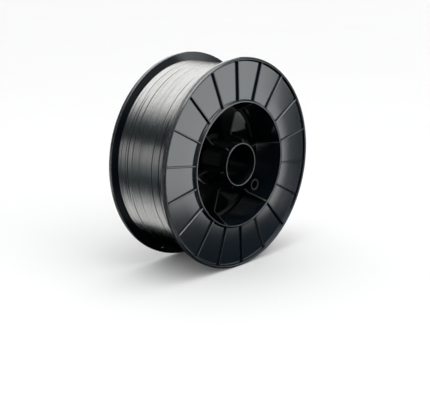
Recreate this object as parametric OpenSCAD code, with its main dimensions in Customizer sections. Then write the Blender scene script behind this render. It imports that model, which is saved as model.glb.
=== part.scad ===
// Spool of flux-cored welding wire.
// Two equal plastic half spools meet at the mid plane, and the wire is wound on their barrel.
// The spool stands on the rims of its flanges, with its axis along Y.
// The origin is the middle of the spindle bore.

/* [Spool] */
// Diameter of the flanges
flange_d = 280; // [262:1:320]
// Width over both flanges
spool_w = 103; // [85:1:140]
// Turn of the rib pattern about the spool axis, in degrees
rib_phase = 12.4; // [0:0.1:60]

/* [Flange] */
// Depth of the flange at its rim
flange_t = 6; // [5.6:0.1:10]
// Thickness of the flange plate between the ribs
plate_t = 2.6; // [2:0.1:3]
// Radial thickness of the rim
rim_w = 4.5; // [3.6:0.1:6]
// Number of ribs on each flange
rib_count = 18; // [6:6:30]
// Thickness of each rib
rib_t = 2.2; // [2:0.1:4]
// Rounding of the rib tops
rib_edge_r = 0.9; // [0.2:0.1:0.9]
// Depth of the rib tops below the flange face
rib_drop = 0.3; // [0.1:0.1:1]
// Fillet where the plate meets the rim and the barrel's lip
panel_fillet = 1.1; // [0.5:0.1:1.3]
// Rounding of the two edges of the rim's face
rim_face_r = 2.1; // [0.5:0.1:2.1]
// Rounding of the rim's back edge
rim_edge_r = 0.9; // [0.3:0.1:1.2]
// Rounding of the other visible edges
edge_r = 0.6; // [0.2:0.1:0.8]

/* [Barrel] */
// Outer diameter of the barrel
barrel_d = 171; // [150:1:190]
// Wall of the barrel
barrel_wall = 3.6; // [2.5:0.1:6]
// Wall of the lip at the barrel's mouth, outside the flange plate
lip_wall = 2.9; // [2:0.1:5]

/* [Hub] */
// Diameter of the spindle bore
bore_d = 51.5; // [50.5:0.1:52.5]
// Outer diameter of the hub
hub_d = 57.8; // [57.4:0.1:66]
// Diameter of the lead-in at the mouth of the bore
mouth_d = 54; // [53.5:0.1:54.6]
// Depth of the lead-in
mouth_depth = 7; // [1:0.5:12]

/* [Drive hole] */
// Distance of the drive hole from the spool axis
drive_pitch = 44.5; // [42:0.5:50]
// Diameter of the drive hole
drive_d = 10.5; // [10:0.1:12]
// Wall of the boss round the drive hole
drive_wall = 2.7; // [2:0.1:4]
// Depth of the boss's end below the flange face
drive_recess = 1.5; // [0:0.5:15]
// Lead-in at the mouth of the drive hole
drive_lead = 0.6; // [0.2:0.1:1]

/* [Spokes] */
// Number of spokes between hub and barrel
spoke_count = 6; // [3:1:9]
// Thickness of each spoke
spoke_t = 2.2; // [1.5:0.1:4]
// Depth of a spoke's edge below the flange face, at the hub
spoke_hub_depth = 4; // [1:0.5:15]
// Fall of that edge from the hub to the scoop
hub_fall = 2.5; // [0:0.5:4]
// Depth of a spoke's edge below the flange face, in its scoop
scoop_depth = 29; // [20:0.5:35]
// Depth of a spoke's edge below the flange face, at the barrel
spoke_rim_depth = 3; // [1:0.5:15]
// Length of a spoke's edge beside the hub, above the scoop
hub_land = 4; // [3:0.5:8]
// Level length of a spoke's edge beside the barrel
rim_land = 0.5; // [0.5:0.5:5]
// Radial run of the scoop's slope on the hub side
hub_slope = 4; // [2:0.5:10]
// Radial run of the scoop's slope on the barrel side
rim_slope = 13.5; // [4:0.5:16]
// Rounding at the bottom of the scoop
scoop_r = 4; // [1:0.5:6]
// Rounding of the corners above the scoop
spoke_edge_r = 0.2; // [0.1:0.1:0.8]

/* [Mid web] */
// Thickness of each half's web at the mid plane
web_t = 2.5; // [1:0.1:5]
// Width of the web round the hub
hub_web_w = 6; // [2:0.5:12]
// Width of the web inside the barrel
barrel_web_w = 5; // [2:0.5:12]

/* [Wire end] */
// Diameter of the hole in the flange for the wire's end
wire_hole_d = 3.2; // [2:0.1:5]
// Gap between that hole and the rim's inner wall
wire_hole_gap = 0.4; // [0.2:0.1:6]
// Width of the notch in the rim for the wire's end
notch_w = 1.8; // [1:0.1:4]
// Depth of the notch in the rim
notch_depth = 2; // [0.5:0.1:2.1]

/* [Wire] */
// Outer diameter of the winding
winding_d = 258; // [200:1:258]
// Thickness of the wire
wire_t = 1.2; // [0.8:0.1:2.4]
// Gap between the winding and the plastic
wire_gap = 0.2; // [0.1:0.05:0.5]

/* [Hidden] */

$fn = 144;
overlap = 0.4;              // how far joined shapes run into each other
arc_steps = 5;              // straight steps in each rounded corner
turn_bend = [-50, 0, 50];   // corners of each turn's round back, in degrees from its crest
rim_flat = 0.2;             // least flat left between the roundings of the rim's face

half_w = spool_w / 2;
flange_r = flange_d / 2;
rim_in_r = flange_r - rim_w;
barrel_r = barrel_d / 2;
barrel_in_r = barrel_r - barrel_wall;
lip_r = barrel_in_r + lip_wall;
hub_r = hub_d / 2;
rim_round = min(rim_face_r, (rim_w - rim_flat) / 2);

// Heights above the mid plane, along the spool axis.
plate_under = half_w - flange_t;
plate_top = plate_under + plate_t;
rib_top = half_w - rib_drop;
boss_top = half_w - drive_recess;

spoke_step = 360 / spoke_count;
rib_step = 360 / rib_count;
drive_angle = rib_phase - spoke_step;             // the drive hole sits on a spoke
wire_hole_r = rim_in_r - wire_hole_gap - wire_hole_d / 2;
wire_hole_angle = rib_phase + rib_step / 4;       // a quarter of the way between two ribs
notch_angle = rib_phase + 3.5 * rib_step;         // midway between two ribs

// Corners are [x, y, r], and a corner with r over 0 is rounded to that radius.
function unit(v) = v / norm(v);
function xy(p) = [p.x, p.y];
function fillet(before, corner, after, r) =
    let (
        u = unit(before - corner),
        v = unit(after - corner),
        half_angle = acos(u * v) / 2,
        centre = corner + unit(u + v) * r / sin(half_angle),
        start = corner + u * r / tan(half_angle) - centre,
        end = corner + v * r / tan(half_angle) - centre,
        a = atan2(start.y, start.x),
        turn = atan2(start.x * end.y - start.y * end.x, start * end)
    )
    [for (i = [0:arc_steps]) centre + r * [cos(a + turn * i / arc_steps), sin(a + turn * i / arc_steps)]];
function rounded(corners) =
    let (n = len(corners))
    [for (i = [0:n - 1])
        each corners[i].z > 0
            ? fillet(xy(corners[(i + n - 1) % n]), xy(corners[i]), xy(corners[(i + 1) % n]), corners[i].z)
            : [xy(corners[i])]];

// Half section of flange and barrel, as [radius, height].
function shell_section() = rounded([
    [barrel_in_r, 0, 0],
    [barrel_r, 0, 0],
    [barrel_r, plate_under, 0],
    [flange_r, plate_under, rim_edge_r],
    [flange_r, half_w, rim_round],
    [rim_in_r, half_w, rim_round],
    [rim_in_r, plate_top, panel_fillet],
    [lip_r, plate_top, panel_fillet],
    [lip_r, half_w, edge_r],
    [barrel_in_r, half_w, edge_r]
]);

// Half section of the hub, with the lead-in at its mouth.
function hub_section() = rounded([
    [bore_d / 2, 0, 0],
    [hub_r, 0, 0],
    [hub_r, half_w, edge_r],
    [mouth_d / 2, half_w, edge_r],
    [bore_d / 2, half_w - mouth_depth, 0]
]);

// One spoke from the hub's wall to the barrel's wall, with its scooped outer edge.
function spoke_outline() =
    let (
        hub_top = half_w - spoke_hub_depth,
        scoop = half_w - scoop_depth,
        barrel_top = half_w - spoke_rim_depth
    )
    rounded([
        [hub_r - overlap, 0, 0],
        [barrel_in_r + overlap, 0, 0],
        [barrel_in_r + overlap, barrel_top, 0],
        [barrel_in_r - rim_land, barrel_top, spoke_edge_r],
        [barrel_in_r - rim_land - rim_slope, scoop, scoop_r],
        [hub_r + hub_land + hub_slope, scoop, scoop_r],
        [hub_r + hub_land, hub_top - hub_fall, spoke_edge_r],
        [hub_r - overlap, hub_top, 0]
    ]);

module ring(r_in, r_out, height) {
    rotate_extrude()
        translate([r_in, 0])
            square([r_out - r_in, height]);
}

// Copies its children round the spool axis.
module spread(count) {
    for (k = [0:count - 1])
        rotate(rib_phase + k * 360 / count)
            children();
}

// Cross section of a flange rib, from inside the plate to its rounded top.
function rib_section() = rounded([
    [-rib_t / 2, plate_top - plate_t / 2, 0],
    [rib_t / 2, plate_top - plate_t / 2, 0],
    [rib_t / 2, rib_top, rib_edge_r],
    [-rib_t / 2, rib_top, rib_edge_r]
]);

// The rib runs into the lip and into the rim, past the rounding of the rim's face.
module flange_rib() {
    translate([lip_r - overlap, 0, 0])
        rotate([90, 0, 90])
            linear_extrude(rim_in_r + rim_round - lip_r + overlap)
                polygon(rib_section());
}

module spoke() {
    rotate([90, 0, 0])
        translate([0, 0, -spoke_t / 2])
            linear_extrude(spoke_t)
                polygon(spoke_outline());
}

// Half sections of the boss round the drive hole, and of the hole with its lead-in.
function boss_section() = rounded([
    [0, 0, 0],
    [drive_d / 2 + drive_wall, 0, 0],
    [drive_d / 2 + drive_wall, boss_top, edge_r],
    [0, boss_top, 0]
]);
function drive_section() = [
    [0, -overlap],
    [drive_d / 2, -overlap],
    [drive_d / 2, boss_top - drive_lead],
    [drive_d / 2 + drive_lead, boss_top],
    [drive_d / 2 + drive_lead, half_w + overlap],
    [0, half_w + overlap]
];

module drive_boss() {
    rotate(drive_angle)
        translate([drive_pitch, 0, 0])
            rotate_extrude()
                polygon(boss_section());
}

module drive_hole() {
    rotate(drive_angle)
        translate([drive_pitch, 0, 0])
            rotate_extrude()
                polygon(drive_section());
}

module wire_hole() {
    rotate(wire_hole_angle)
        translate([wire_hole_r, 0, plate_under - overlap])
            cylinder(d = wire_hole_d, h = flange_t + 2 * overlap);
}

module rim_notch() {
    rotate(notch_angle)
        translate([flange_r - notch_depth, -notch_w / 2, plate_under - overlap])
            cube([notch_depth + overlap, notch_w, flange_t + 2 * overlap]);
}

// One half spool, with the mid plane at height 0 and its flange face at half_w.
module half_spool() {
    difference() {
        union() {
            rotate_extrude() polygon(shell_section());
            rotate_extrude() polygon(hub_section());
            ring(hub_r - overlap, hub_r + hub_web_w, web_t);
            ring(barrel_in_r - barrel_web_w, barrel_in_r + overlap, web_t);
            spread(rib_count) flange_rib();
            spread(spoke_count) spoke();
            drive_boss();
        }
        drive_hole();
        wire_hole();
    }
}

// Lays the spool axis along Y, with the front flange's face towards -Y.
module place() {
    rotate([90, 0, 0])
        children();
}

// The notch for the wire's end is cut in the front flange only.
module front_half() {
    color([0.09, 0.10, 0.11])
        place()
            difference() {
                half_spool();
                rim_notch();
            }
}

// The same moulding, turned over about the line through the drive hole.
module rear_half() {
    color([0.09, 0.10, 0.11])
        place()
            rotate(a = 180, v = [cos(drive_angle), sin(drive_angle), 0])
                half_spool();
}

// The round backs of turns that lie side by side from one point to the next, left of the way.
function turns(from, to) =
    let (
        way = unit(to - from),
        out = [-way.y, way.x],
        count = floor(norm(to - from) / wire_t),
        pitch = norm(to - from) / count
    )
    [for (k = [0:count - 1])
        each [
            from + way * k * pitch,
            for (b = turn_bend)
                from + way * ((k + 0.5) * pitch + wire_t / 2 * sin(b)) + out * wire_t / 2 * cos(b)
        ]];

// Half section of the winding, from its front end over the last layer to its rear end.
function winding_section() =
    let (
        inner = barrel_r + wire_gap,
        core = winding_d / 2 - wire_t / 2,
        end = plate_under - wire_gap - wire_t / 2
    )
    [
        each turns([inner, end], [core, end]),
        each turns([core, end], [core, -end]),
        each turns([core, -end], [inner, -end]),
        [inner, -end]
    ];

module wire_winding() {
    color([0.72, 0.72, 0.70])
        place()
            rotate_extrude()
                polygon(winding_section());
}

front_half();
rear_half();
wire_winding();
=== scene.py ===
# %% [markdown]
# # A spool of flux-cored welding wire
#
# The spool is two equal plastic mouldings joined at the middle, wound full with thin steel wire.
# This notebook dresses it: the plastic keeps its solid shape and gets a moulded finish, and the
# plain winding is swapped for one whose turns drift and gap as real ones do.
# Everything is in metres. The spool axis lies along Y, the front flange faces -Y, and Z is up.

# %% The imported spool
import math

import bpy
import numpy as np
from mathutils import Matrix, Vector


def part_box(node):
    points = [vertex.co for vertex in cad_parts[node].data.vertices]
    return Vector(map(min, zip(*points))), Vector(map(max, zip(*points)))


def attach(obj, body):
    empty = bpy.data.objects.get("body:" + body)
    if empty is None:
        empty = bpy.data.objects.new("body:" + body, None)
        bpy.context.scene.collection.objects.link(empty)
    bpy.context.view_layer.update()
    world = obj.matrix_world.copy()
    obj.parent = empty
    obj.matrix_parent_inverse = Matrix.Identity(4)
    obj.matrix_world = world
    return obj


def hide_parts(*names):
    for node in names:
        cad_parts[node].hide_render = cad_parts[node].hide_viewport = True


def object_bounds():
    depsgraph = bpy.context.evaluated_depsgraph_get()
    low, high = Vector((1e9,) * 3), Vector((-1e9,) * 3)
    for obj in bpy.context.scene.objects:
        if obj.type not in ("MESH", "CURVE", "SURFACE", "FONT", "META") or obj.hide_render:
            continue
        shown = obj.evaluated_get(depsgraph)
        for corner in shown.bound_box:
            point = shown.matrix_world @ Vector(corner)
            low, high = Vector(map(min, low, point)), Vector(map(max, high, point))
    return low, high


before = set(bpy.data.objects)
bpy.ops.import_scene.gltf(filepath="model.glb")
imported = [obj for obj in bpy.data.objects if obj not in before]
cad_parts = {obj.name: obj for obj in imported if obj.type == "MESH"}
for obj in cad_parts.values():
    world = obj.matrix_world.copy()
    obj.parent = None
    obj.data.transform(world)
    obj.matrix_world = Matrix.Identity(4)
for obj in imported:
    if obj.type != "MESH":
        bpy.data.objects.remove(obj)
cad_box = [list(corner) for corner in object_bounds()]
print("pieces:", sorted(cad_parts))
print("size in mm:", [round(1000 * (b - a), 1) for a, b in zip(*cad_box)])

# %% [markdown]
# ## Sizes
#
# The sizes could be typed in again, but then they would part from the solids as soon as one
# changed. They are read from the boxes of the solids instead, so the turns always fill the
# space between the flanges.

# %% Sizes read from the solids
MM = 0.001
low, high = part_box("wire_winding")
winding_r = high.x
winding_half = high.y
flange_r = cad_box[1][0]
half_width = cad_box[1][1]
floor_z = cad_box[0][2]
print(f"winding: radius {winding_r / MM:.1f} mm, width {2 * winding_half / MM:.1f} mm")
print(f"flange: radius {flange_r / MM:.1f} mm, spool width {2 * half_width / MM:.1f} mm")

# %% [markdown]
# ## Camera
#
# The spool is seen from its front left and a little above, so that the flange, the winding and
# the hub all show. An orbit is easier to read than a raw position: two angles and a distance
# place the camera round a point just below the middle of the spool.

# %% Camera
def direction(azimuth, elevation):
    """Unit vector from the middle towards a camera that looks along +Y at azimuth 0."""
    a, e = math.radians(azimuth), math.radians(elevation)
    return np.array([math.sin(a) * math.cos(e), -math.cos(a) * math.cos(e), math.sin(e)])


def look(obj, place, target):
    """Puts obj at place, with its -Z axis towards target and its Y axis up."""
    obj.location = place
    away = obj.location - type(obj.location)(target)
    obj.rotation_euler = away.to_track_quat("Z", "Y").to_euler()


aim = np.array([-0.0081, -0.0123, -0.0536])
azimuth = -47
elevation = 14.94
distance = 1.2934
camera = bpy.data.objects.new("camera", bpy.data.cameras.new("camera"))
camera.data.sensor_width = 36
camera.data.lens = 80.35
look(camera, aim + distance * direction(azimuth, elevation), aim)
bpy.context.scene.collection.objects.link(camera)
bpy.context.scene.camera = camera
bpy.context.scene.view_settings.view_transform = "Standard"
print("camera at", [round(v, 3) for v in camera.location], "lens", camera.data.lens)

# %% [markdown]
# ## Shader maths
#
# A finish is a formula over the surface. Nodes can be wired one by one, but a sum of ten nodes
# is hard to read. `Value` wraps one socket, so that `1 - mask * 0.5` adds its own Math nodes.
# `Nodes.add` makes every other node: its settings are set first, then its sockets.
# A mask is a value from 0 to 1, and a product of masks is 1 only where all of them are.

# %% Shader maths
class Value:
    """One output socket. Arithmetic on it adds Math nodes to its tree."""

    def __init__(self, nodes, socket):
        self.nodes = nodes
        self.socket = socket

    def math(self, operation, *others, swap=False):
        terms = [*others, self] if swap else [self, *others]
        return self.nodes.add("Math", {"operation": operation}, dict(enumerate(terms)))

    def __add__(self, other):
        return self.math("ADD", other)

    def __sub__(self, other):
        return self.math("SUBTRACT", other)

    def __rsub__(self, other):
        return self.math("SUBTRACT", other, swap=True)

    def __mul__(self, other):
        return self.math("MULTIPLY", other)

    def __truediv__(self, other):
        return self.math("DIVIDE", other)

    def __pow__(self, other):
        return self.math("POWER", other)

    __radd__ = __add__
    __rmul__ = __mul__

    def size(self):
        """The value without its sign."""
        return self.math("ABSOLUTE")

    def above(self, start, end):
        """0 below start and 1 above end, with a soft step from one to the other."""
        settings = {"interpolation_type": "SMOOTHSTEP"}
        sockets = {"Value": self, "From Min": start, "From Max": end}
        return self.nodes.add("MapRange", settings, sockets)

    def below(self, start, end):
        """1 below start and 0 above end, with a soft step from one to the other."""
        return 1 - self.above(start, end)

    def climbing(self, start, end):
        """0 below start and 1 above end, straight in between."""
        sockets = {"Value": self, "From Min": start, "From Max": end}
        return self.nodes.add("MapRange", {"clamp": True}, sockets)


print("sockets can be used in sums")

# %% Node trees
class Nodes:
    """A node tree, with one method that adds any node to it."""

    def __init__(self, tree):
        self.tree = tree

    def add(self, kind, settings=None, sockets=None, out=0):
        node = self.tree.nodes.new("ShaderNode" + kind)
        for name, setting in (settings or {}).items():
            if name == "stops":
                self.set_stops(node.color_ramp, setting)
            else:
                setattr(node, name, setting)
        for name, value in (sockets or {}).items():
            if isinstance(value, Value):
                self.tree.links.new(value.socket, node.inputs[name])
            else:
                node.inputs[name].default_value = value
        return Value(self, node.outputs[out]) if node.outputs else node

    @staticmethod
    def set_stops(ramp, stops):
        while len(ramp.elements) > 1:
            ramp.elements.remove(ramp.elements[0])
        for i, (place, colour) in enumerate(stops):
            element = ramp.elements.new(place) if i else ramp.elements[0]
            element.position = place
            element.color = colour

    def mix(self, factor, first, second):
        """A colour between first and second."""
        sockets = {"Factor": factor, 6: first, 7: second}
        return self.add("Mix", {"data_type": "RGBA"}, sockets, out=2)

    def surface(self, coordinates="Object"):
        """The place on the surface, in metres, as a vector."""
        return self.add("TexCoord", out=coordinates)

    def noise(self, vector, scale, detail=2.0, roughness=0.5):
        sockets = {"Vector": vector, "Scale": scale, "Detail": detail, "Roughness": roughness}
        return self.add("TexNoise", {"noise_dimensions": "3D"}, sockets)

    def stretched(self, vector, stretch):
        """The vector times stretch, axis by axis."""
        return self.add("VectorMath", {"operation": "MULTIPLY"}, {0: vector, 1: stretch})

    def axes(self, vector):
        """The three numbers of a vector."""
        split = self.add("SeparateXYZ", sockets={"Vector": vector})
        return [Value(self, s) for s in split.socket.node.outputs]

    def bump(self, height, depth):
        """A normal that makes the surface look raised by height times depth, in metres."""
        return self.add("Bump", sockets={"Height": height, "Distance": depth, "Strength": 1.0})


print("node trees can be built")

# %% Materials
def finish(name, **constants):
    """A new material with one Principled shader. Constants are set on the shader itself."""
    material = bpy.data.materials.new(name)
    material.use_nodes = True
    nodes = Nodes(material.node_tree)
    material.node_tree.nodes.clear()
    shader = nodes.add("BsdfPrincipled", sockets=constants)
    nodes.add("OutputMaterial", sockets={"Surface": shader})
    return material, nodes, shader.socket.node


def connect(nodes, shader, **values):
    """Links each value to the shader's socket of that name, with _ for each space."""
    for name, value in values.items():
        nodes.tree.links.new(value.socket, shader.inputs[name.replace("_", " ")])


def grey(level):
    return (level, level, level, 1)


print("materials can be made")

# %% [markdown]
# ## Studio
#
# Bright metal shows what stands round it more than it shows itself. A round winding mirrors its
# surroundings by angle about the spool axis, so the studio is drawn as one ramp over that angle:
# a long white panel overhead, a dark gap, a dim panel at the left side and a pale low one.
# Real cards could do the same, but one ramp is easier to tune. The panels end behind the spool:
# walls that are seen nearly edge on mirror that end, and it leaves the hub's inside black.
# The camera itself sees plain white, and matt surfaces get plain light from all round.

# %% Studio surroundings
panel_ends = (0.30, 0.60)  # over this part of the way to +Y the panels fade out
dim_level = 0.25  # below this share of the brightest panel a grey starts to turn blue
less_red = 0.30
more_blue = 0.12


def cool_when_dim(level):
    """A grey that turns a little blue where it is dark, as unlit corners of a studio do."""
    dim = max(0, 1 - level / dim_level)
    return (level * (1 - less_red * dim), level, level * (1 + more_blue * dim), 1)


def studio_world(panels, dome, backdrop):
    """Long panels parallel to the spool axis, as {angle in degrees: brightness}."""
    world = bpy.data.worlds.new("studio")
    world.use_nodes = True
    nodes = Nodes(world.node_tree)
    world.node_tree.nodes.clear()
    x, y, z = nodes.axes(nodes.surface("Generated"))
    turn = z.math("ARCTAN2", x) / (2 * math.pi) + 0.5
    peak = max(panels.values())
    stops = [(a / 360 + 0.5, cool_when_dim(b / peak)) for a, b in sorted(panels.items())]
    ramp = nodes.add("ValToRGB", {"stops": stops}, {"Fac": turn})
    strength = y.below(*panel_ends) * peak
    reflected = nodes.add("Background", sockets={"Color": ramp, "Strength": strength})
    soft = nodes.add("Background", sockets={"Color": grey(1), "Strength": dome})
    behind = nodes.add("Background", sockets={"Color": grey(1), "Strength": backdrop})
    is_diffuse = nodes.add("LightPath", out="Is Diffuse Ray")
    is_camera = nodes.add("LightPath", out="Is Camera Ray")
    lit = nodes.add("MixShader", sockets={0: is_diffuse, 1: reflected, 2: soft})
    both = nodes.add("MixShader", sockets={0: is_camera, 1: lit, 2: behind})
    nodes.add("OutputWorld", sockets={"Surface": both})
    bpy.context.scene.world = world
    return len(stops)


print("panels fade out from", panel_ends[0], "to", panel_ends[1])

# %% Panels of the studio
# Degrees run from +X at 0 over +Z at 90 to -X at 180, and go on there from -180.
top_panel = {40: 0.70, 46: 1.25, 52: 2.00, 60: 2.40, 100: 2.50, 112: 2.22, 121: 1.60, 128: 0.88}
dark_gap = {135: 0.27, 142: 0.07, 160: 0.04}
side_panel = {165: 0.56, 170: 0.72, -180: 0.57, -168: 0.25, -160: 0.06, -149: 0.04}
low_panel = {-143: 0.42, -132: 1.22, -120: 1.56, -112: 1.81, -110: 1.86, -107: 0.08}
right_side = {-98: 0.00, -60: 0.00, -20: 0.01, 0: 0.03, 24: 0.12, 32: 0.30}
panels = {**top_panel, **dark_gap, **side_panel, **low_panel, **right_side}
print(studio_world(panels, dome=0.85, backdrop=1.0), "stops in the studio ramp")

# %% [markdown]
# ## Floor
#
# The spool stands on its two rims on a plain pale floor. A sheet that curves up behind it would
# hide a horizon, but the surroundings are as white as the floor, so a flat one is enough. The
# panels already hold what the floor adds to a reflection, so glossy surfaces do not see it.

# %% Floor
def pale_floor(height, size=12.0):
    mesh = bpy.data.meshes.new("floor")
    s = size / 2
    corners = [(-s, -s, height), (s, -s, height), (s, s, height), (-s, s, height)]
    mesh.from_pydata(corners, [], [(0, 1, 2, 3)])
    floor = bpy.data.objects.new("floor", mesh)
    material, nodes, shader = finish("pale_floor", Roughness=0.7)
    speckle = nodes.noise(nodes.surface(), 3.0)
    connect(nodes, shader, Base_Color=nodes.mix(speckle, grey(0.93), grey(0.96)))
    mesh.materials.append(material)
    floor.visible_glossy = False
    bpy.context.scene.collection.objects.link(floor)
    return floor


floor = pale_floor(floor_z)
print("floor at", round(floor_z, 4))

# %% [markdown]
# ## Soft boxes
#
# Black plastic is lit by what it mirrors, so each lamp is there for one part of the spool:
# - the key hangs high and gives the floor its soft shadow;
# - the overhead box lights the edges of the ribs from above;
# - the face card stands in front on the right, where the front flange mirrors it. Its edges fall
#   on the flange, so the panels fade towards the right and towards the bottom;
# - the rear card lies behind and shows in the hub's upper window;
# - the rim strip hangs over the far flange and draws the light line on both rims;
# - the low back box lights the rear flange.
#
# A lamp that also lit the floor would burn a bright patch into it, and one that lit the winding
# would spoil its bands. Light linking lists what a lamp leaves out.

# %% Soft boxes
COOL_WHITE = (0.975, 1.0, 1.0)


def soft_box(name, place, target, width, height, brightness, leaves_out):
    """A rectangular lamp that faces target. The camera does not see the lamp itself."""
    data = bpy.data.lights.new(name, "AREA")
    data.color = COOL_WHITE
    data.shape = "RECTANGLE"
    data.size = width
    data.size_y = height
    data.energy = brightness * math.pi * width * height
    lamp = bpy.data.objects.new(name, data)
    look(lamp, place, target)
    lamp.visible_camera = False
    bpy.context.scene.collection.objects.link(lamp)
    group = bpy.data.collections.new("left_out_of_" + name)
    for i, obj in enumerate(leaves_out):
        group.objects.link(obj)
        group.collection_objects[i].light_linking.link_state = "EXCLUDE"
    lamp.light_linking.receiver_collection = group
    lamp.light_linking.blocker_collection = group
    return lamp


def light_the_spool(winding):
    """The soft boxes. They are made last, when the winding can be left out."""
    spool_only = [floor, winding]
    return [
        soft_box("key", (-0.35, -0.30, 1.30), (0, 0, 0), 0.6, 0.6, 2.5, [winding]),
        soft_box("overhead", (-0.10, -0.40, 1.05), (0, 0, 0), 1.2, 0.9, 10.0, spool_only),
        soft_box("face_card", (0.251, -0.501, 0.046), (0, -0.05, 0), 0.52, 0.51, 5.3, spool_only),
        soft_box("rear_card", (-0.03, 0.22, -0.139), (-0.03, 0.22, 1), 0.30, 0.25, 0.65, spool_only),
        soft_box("rim_strip", (-0.03, 0.10, 0.225), (-0.03, 0, 0.225), 0.38, 0.15, 3.4, spool_only),
        soft_box("low_back", (0, 0.42, -0.12), (0, 0, -0.12), 1.00, 0.34, 2.2, spool_only),
    ]


print("soft boxes ready to hang")

# %% [markdown]
# ## Black plastic
#
# The half spools are moulded in black polystyrene: dark, satin, with a fine skin texture and
# slow waves where the plastic shrank as it cooled. The same shrinking pulls the panels in beside
# the barrel, and it rounds the lip and tilts the face of the rim. The rims are scuffed paler and
# duller, since the spool is rolled and set down on them.
#
# The masks could be painted by hand, but a spool is round: the distance to its axis, the place
# along it and the way a surface faces find every part of the moulding. Each pair of numbers
# below says where one mask starts and where it is complete, in metres from the axis or from the
# mid plane, or as the share of the normal that lies along the axis.

# %% Places on the moulding
SCUFFED_RIM = (flange_r - 1.6 * MM, flange_r - 0.2 * MM)
TILTED_RIM = (flange_r - 2.6 * MM, flange_r)
CORNER_STARTS = (flange_r - 6.2 * MM, flange_r - 5.4 * MM)
CORNER_ENDS = (flange_r - 3.0 * MM, flange_r - 2.2 * MM)
SUNK_PANEL = (84 * MM, 107 * MM)
ROUNDED_LIP = (83.4 * MM, 84.8 * MM)
LIP_ENDS = (84.9 * MM, 85.1 * MM)
BARREL_WALL = (80 * MM, 84 * MM)
BARREL_MOUTH = (78 * MM, 81 * MM)
FLANGE_STARTS = (84 * MM, 86 * MM)
OVER_THE_PLATE = (half_width - 4.5 * MM, half_width - 3.7 * MM)
AT_THE_FACE = (half_width - 1.3 * MM, half_width - 0.7 * MM)
FACING_OUT = (0.10 * half_width, 0.60 * half_width)  # place along the axis times normal
NOT_A_WALL = (0.10, 0.40)
FLAT_FACE = (0.85, 0.99)
print("panels sink over", round((SUNK_PANEL[1] - SUNK_PANEL[0]) / MM), "mm beside the barrel")

# %% [markdown]
# Deep inside the hub, between the flanges and in the corners beside the rims, little light
# arrives, and what does is lost between the walls. Metallic with a black base takes the shine
# away there: it is not metal, only a way to dim a reflection by a mask.

# %% Plastic finish
def moulded_plastic():
    material, nodes, shader = finish("black_moulded_plastic", IOR=1.42)
    here = nodes.surface()
    x, y, z = nodes.axes(here)
    _, normal_y, _ = nodes.axes(nodes.add("NewGeometry", out="Normal"))
    radius = (x * x + z * z) ** 0.5

    skin = nodes.noise(here, 1400.0, detail=3.0)
    waves = nodes.noise(here, 22.0, detail=1.0)
    scuffs = nodes.noise(nodes.stretched(here, (1.0, 3.0, 1.0)), 420.0, detail=6.0, roughness=0.65)
    dust = nodes.noise(here, 520.0, detail=2.0).above(0.70, 0.80)
    worn = radius.above(*SCUFFED_RIM) * scuffs.above(0.30, 0.80)

    # Parts of the moulding. Faces look along the axis, and walls look away from it or to it.
    deep = y.size().below(*AT_THE_FACE)
    inside = deep * radius.below(*BARREL_WALL)
    faces = normal_y.size().above(*NOT_A_WALL)
    walls = inside * (1 - faces)
    outer_face = (normal_y * y).above(*FACING_OUT)
    inner_face = (normal_y * y * -1).above(*FACING_OUT)

    # Places that take little light.
    in_the_hub = faces * radius.below(*BARREL_MOUTH)
    between_flanges = inner_face * radius.above(*FLANGE_STARTS)
    beside_rim = radius.above(*CORNER_STARTS) * radius.below(*CORNER_ENDS)
    corner = beside_rim * y.size().above(*OVER_THE_PLATE) * normal_y.size().below(*FLAT_FACE)

    # Soft forms, with their heights in millimetres.
    sunk = (1 - radius.climbing(*SUNK_PANEL)) ** 2
    tilted = radius.climbing(*TILTED_RIM) * outer_face
    rounded = radius.climbing(*ROUNDED_LIP) * radius.below(*LIP_ENDS) * (1 - deep)
    height = 0.0012 * skin + 0.12 * waves - 0.516 * sunk - 0.96 * tilted - 0.84 * rounded

    black = nodes.mix(waves, (0.0009, 0.0020, 0.0032, 1), (0.0020, 0.0036, 0.0055, 1))
    # Painted shade: the black is made darker still inside the barrel and the hub, where shade falls.
    painted_shade_inside = nodes.mix(inside, black, (0.0003, 0.0008, 0.0009, 1))
    colour = nodes.mix(worn * 0.22 + dust * 0.02, painted_shade_inside, grey(0.16))
    satin = (0.14 + 0.08 * scuffs + 0.18 * worn) * (1 - 0.35 * walls)
    connect(
        nodes,
        shader,
        Base_Color=colour,
        Roughness=satin + 0.65 * inside * faces,
        Metallic=(in_the_hub + between_flanges) * 0.5 + corner * 0.85,
        Normal=nodes.bump(height, MM),
    )
    return material


plastic = moulded_plastic()
for name in ("front_half", "rear_half"):
    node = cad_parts[name]
    node.data.materials.clear()
    node.data.materials.append(plastic)
print("plastic on front_half and rear_half")

# %% [markdown]
# ## The winding
#
# The wire is 1.2 mm thick and lies side by side in level layers, so the winding's skin is a row
# of round ridges. A bump map could draw them, but real ridges spread the light along the axis by
# themselves and give the long silky shine of wound wire. The solid has the same turns in even
# rows. Here they are swept round in steps, so that a turn can drift and open a thin gap, and
# those gaps come and go round the spool.

# %% The last layer
wire_d = 1.2 * MM
bore_r = 85.7 * MM
layer_r = winding_r - wire_d / 2
layer_half = winding_half - wire_d / 2
turn_count = int(2 * layer_half / wire_d)
pitch = 2 * layer_half / turn_count
steps = 144
around = np.linspace(0, 2 * math.pi, steps, endpoint=False)
degrees = np.degrees(around)
rng = np.random.default_rng(7)
print(turn_count, "turns across,", round(pitch / MM, 3), "mm apart, in", steps, "steps")
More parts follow.
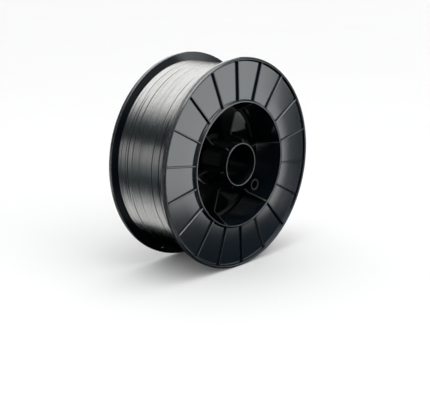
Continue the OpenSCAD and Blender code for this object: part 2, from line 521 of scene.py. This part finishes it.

# %% [markdown]
# ## Gaps and tones
#
# Here and there a turn lands a little off its place, and a thin dark gap opens beside it, runs
# part of the way round and closes again. Noise could scatter such gaps, but it could not put one
# where it is wanted. So the gaps on the side that shows most are listed, and the rest of
# the way round is filled at random from a fixed seed. A gap pushes the turns beside it apart.

# %% Gaps in the last layer
# Each gap runs along the places [(degrees, mm), ...] and has a width in mm.
gap_lines = [
    ([(146, -28.8), (166, -28.5), (196, -28.5), (232, -28.5)], 1.0),
    ([(116, -20), (158, -20)], 0.6),
    ([(158, -17.5), (206, -17.5), (238, -18)], 1.0),
    ([(122, -5), (144, -5)], 0.3),
    ([(150, 6), (204, 7)], 0.45),
    ([(108, 19), (150, 19), (178, 19.5)], 0.9),
    ([(136, 27.5), (198, 27.5)], 1.1),
    ([(196, 24.5), (238, 24.5)], 1.2),
    ([(104, 33), (134, 32), (150, 32), (200, 32)], 0.6),
    ([(130, 40), (176, 40), (204, 41)], 0.5),
]
wide_gaps = 34
thin_gaps = 90
back_starts = 240  # the listed gaps leave the way round free from here to back_ends
back_ends = 446
for _ in range(wide_gaps):
    start = rng.uniform(back_starts, 420)
    end = min(start + rng.uniform(40, 120), back_ends)
    place = rng.uniform(-42, 42)
    line = [(start, place), (end, place + rng.uniform(-1.5, 1.5))]
    gap_lines.append((line, rng.uniform(0.3, 1.0)))
for _ in range(thin_gaps):
    start = rng.uniform(0, 360)
    place = rng.uniform(-44, 44)
    line = [(start, place), (start + rng.uniform(25, 110), place)]
    gap_lines.append((line, rng.uniform(0.08, 0.28)))
print(len(gap_lines), "gaps")

# %% Width of every gap
fade_degrees = 8  # a gap opens and closes over so many degrees
smoothing = np.array([1, 3, 6, 7, 6, 3, 1]) / 27  # weights of the steps beside a step


def openness(start, end):
    """1 on the way round from start to end in degrees, with soft ends, and 0 elsewhere."""
    middle = (start + end) / 2
    reach = (end - start) / 2
    away = np.abs((degrees - middle + 180) % 360 - 180)
    return np.clip((reach - away) / fade_degrees + 0.5, 0, 1)


def gap_widths():
    """Width of the gap after each turn, in metres, along its way round."""
    wide = np.zeros((turn_count - 1, steps))
    for line, width in gap_lines:
        angles, places = np.array(line).T
        share = openness(angles[0], angles[-1])
        way_round = np.where(degrees < angles[0] - 90, degrees + 360, degrees)
        place = np.interp(way_round, angles, places) * MM
        after = ((place + layer_half) / pitch).round().astype(int) - 1
        for s in np.nonzero(share)[0]:
            t = min(max(after[s], 0), turn_count - 2)
            wide[t, s] = max(wide[t, s], width * MM * share[s])
    return sum(w * np.roll(wide, k - 3, axis=1) for k, w in enumerate(smoothing))


gap = gap_widths()
print("widest gap", round(gap.max() / MM, 2), "mm")

# %% Place and tone of each turn
push_fades = 7  # over so many turns the push of a gap dies away


def turn_places():
    """Middle of each turn along the axis, in metres. A gap pushes the turns beside it apart."""
    even = (np.arange(turn_count) + 0.5) * pitch - layer_half
    across = np.arange(turn_count)[:, None] - np.arange(turn_count - 1) - 0.5
    push = 0.5 * np.sign(across) * np.exp(-(np.abs(across) - 0.5) / push_fades)
    return np.clip(even[:, None] + push @ gap, -layer_half, layer_half)


def turn_tones():
    """How dark each turn is against its neighbours, changing slowly on its way round."""
    tones = rng.normal(0, 0.7, (turn_count, 1))
    for k in (1, 2, 3):
        size = rng.normal(0, 0.35, (turn_count, 1))
        start = rng.uniform(0, 6, (turn_count, 1))
        tones = tones + size * np.sin(k * around + start)
    return tones


turn_y = turn_places()
tone = turn_tones()
print("first turn at", round(turn_y[0, 0] / MM, 2), "mm, last at", round(turn_y[-1, 0] / MM, 2), "mm")

# %% [markdown]
# ## Skin of the winding
#
# The skin could be made of a hundred rings, but turns that touch would hide half of each ring.
# One grid is lighter and closed: a section of half-round turns along the axis, swept round in
# steps. Each point also stores the tone of its turn and how far down in a groove it lies, counted
# deeper beside a wide gap, so that the finish can follow the real turns and paint shade into the
# grooves and gaps.

# %% Section of the winding
bend = np.radians([-68, -40, -13, 13, 40, 68])  # the points across a turn, from its crest
groove_floor = 1.8  # how deep the floor of a groove counts, where the side of a turn is 1
groove_depth = 0.12 * wire_d
darkest_gap = 0.6 * MM
no_tone = np.zeros(steps)


def last_layer():
    """Rings of (radius, y, tone, groove), one value for each step round, front end to rear end."""
    rings = []
    closed = np.zeros((1, steps))
    beside = np.concatenate([closed, gap, closed])
    for t in range(turn_count):
        tones = no_tone + tone[t]
        for b in bend:
            # shade grows with the width of the gap beside this point, up to darkest_gap, so that the
            # finish paints a darker groove there: painted shade.
            shade = np.clip(beside[t + (b > 0)] / darkest_gap, 0, 1)
            radius = no_tone + layer_r + wire_d / 2 * math.cos(b)
            groove = abs(b) / bend[-1] * (1 + (groove_floor - 1) * shade)
            rings.append((radius, turn_y[t] + wire_d / 2 * math.sin(b), tones, groove))
        if t < turn_count - 1:
            between = (turn_y[t] + turn_y[t + 1]) / 2
            deepest = layer_r - groove_depth - 0.8 * gap[t]
            rings.append((deepest, between, tones, no_tone + groove_floor))
    return rings


def end_turns(outward):
    """The turns that show on one end of the winding, from the last layer down to the bore."""
    count = int((layer_r - bore_r) / wire_d)
    depth = (layer_r - bore_r) / count
    crest = no_tone + outward * winding_half
    seam = crest - outward * wire_d / 2
    rings = []
    for k in range(count):
        outer = no_tone + layer_r - k * depth
        rings.append((outer, seam, no_tone, no_tone + groove_floor))
        rings.append((outer - depth / 2, crest, no_tone, no_tone))
    rings.append((no_tone + bore_r, seam, no_tone, no_tone + groove_floor))
    return rings


section = last_layer() + end_turns(1) + end_turns(-1)[::-1]
print(len(section), "points in the section")

# %% Winding mesh
def swept(name, rings):
    """A closed tube of rings about the Y axis, each ring joined to the next and last to first."""
    r, y, tones, grooves = (np.array([ring[i] for ring in rings]) for i in range(4))
    points = np.stack([r * np.cos(around), y, r * np.sin(around)], axis=-1).reshape(-1, 3)
    n = len(rings)
    faces = []
    for i in range(n):
        j = (i + 1) % n
        for s in range(steps):
            t = (s + 1) % steps
            faces.append((i * steps + s, i * steps + t, j * steps + t, j * steps + s))
    mesh = bpy.data.meshes.new(name)
    mesh.from_pydata(points.tolist(), [], faces)
    for label, values in (("tone", tones), ("groove", grooves)):
        mesh.attributes.new(label, "FLOAT", "POINT").data.foreach_set("value", values.ravel())
    mesh.shade_smooth()
    mesh.set_sharp_from_angle(angle=math.radians(42))
    return bpy.data.objects.new(name, mesh)


wound_wire = swept("wound_wire", section)
bpy.context.scene.collection.objects.link(wound_wire)
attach(wound_wire, "root")
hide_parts("wire_winding")
print(2 * len(wound_wire.data.polygons), "triangles in the winding")

# %% [markdown]
# ## Wire finish
#
# The wire is a bright drawn steel sheath, slightly oily from drawing, with fine scratches along
# it. Neighbouring turns come from the same reel and still differ a little in brightness. The
# grooves between turns, and the open gaps most of all, are coloured near black as painted shade.
# A pattern in space could colour them, but it would slide off the turns. The tone and the groove
# stored on the mesh cannot.

# %% Wire finish
def drawn_wire():
    material, nodes, shader = finish("drawn_steel_wire", Metallic=1.0)
    here = nodes.surface()
    tones = nodes.add("Attribute", {"attribute_name": "tone"}, out="Fac")
    groove = nodes.add("Attribute", {"attribute_name": "groove"}, out="Fac")
    drawn = nodes.noise(nodes.stretched(here, (9.0, 700.0, 9.0)), 1.0, detail=3.0, roughness=0.6)
    scratches = nodes.noise(nodes.stretched(here, (25.0, 4500.0, 25.0)), 1.0, roughness=0.6)
    patches = nodes.noise(nodes.stretched(here, (1.0, 2.5, 1.0)), 14.0)
    # Painted shade: the grooves between turns, and the gaps most of all, turn near black and duller.
    painted_groove_shade = groove.above(0.75, 1.55)
    bright = nodes.mix(patches, (0.415, 0.415, 0.406, 1), (0.465, 0.465, 0.455, 1))
    dull = drawn.above(0.30, 0.75) * 0.3 + tones * 0.07
    lively = nodes.mix(dull, bright, (0.27, 0.27, 0.265, 1))
    connect(
        nodes,
        shader,
        Base_Color=nodes.mix(painted_groove_shade * 0.85, lively, grey(0.03)),
        Roughness=0.14 + 0.08 * drawn + 0.20 * painted_groove_shade,
        Normal=nodes.bump(scratches, 0.006 * MM),
    )
    return material


wound_wire.data.materials.append(drawn_wire())
lamps = light_the_spool(wound_wire)
print("finish on wound_wire, lamps:", sorted(lamp.name for lamp in lamps))
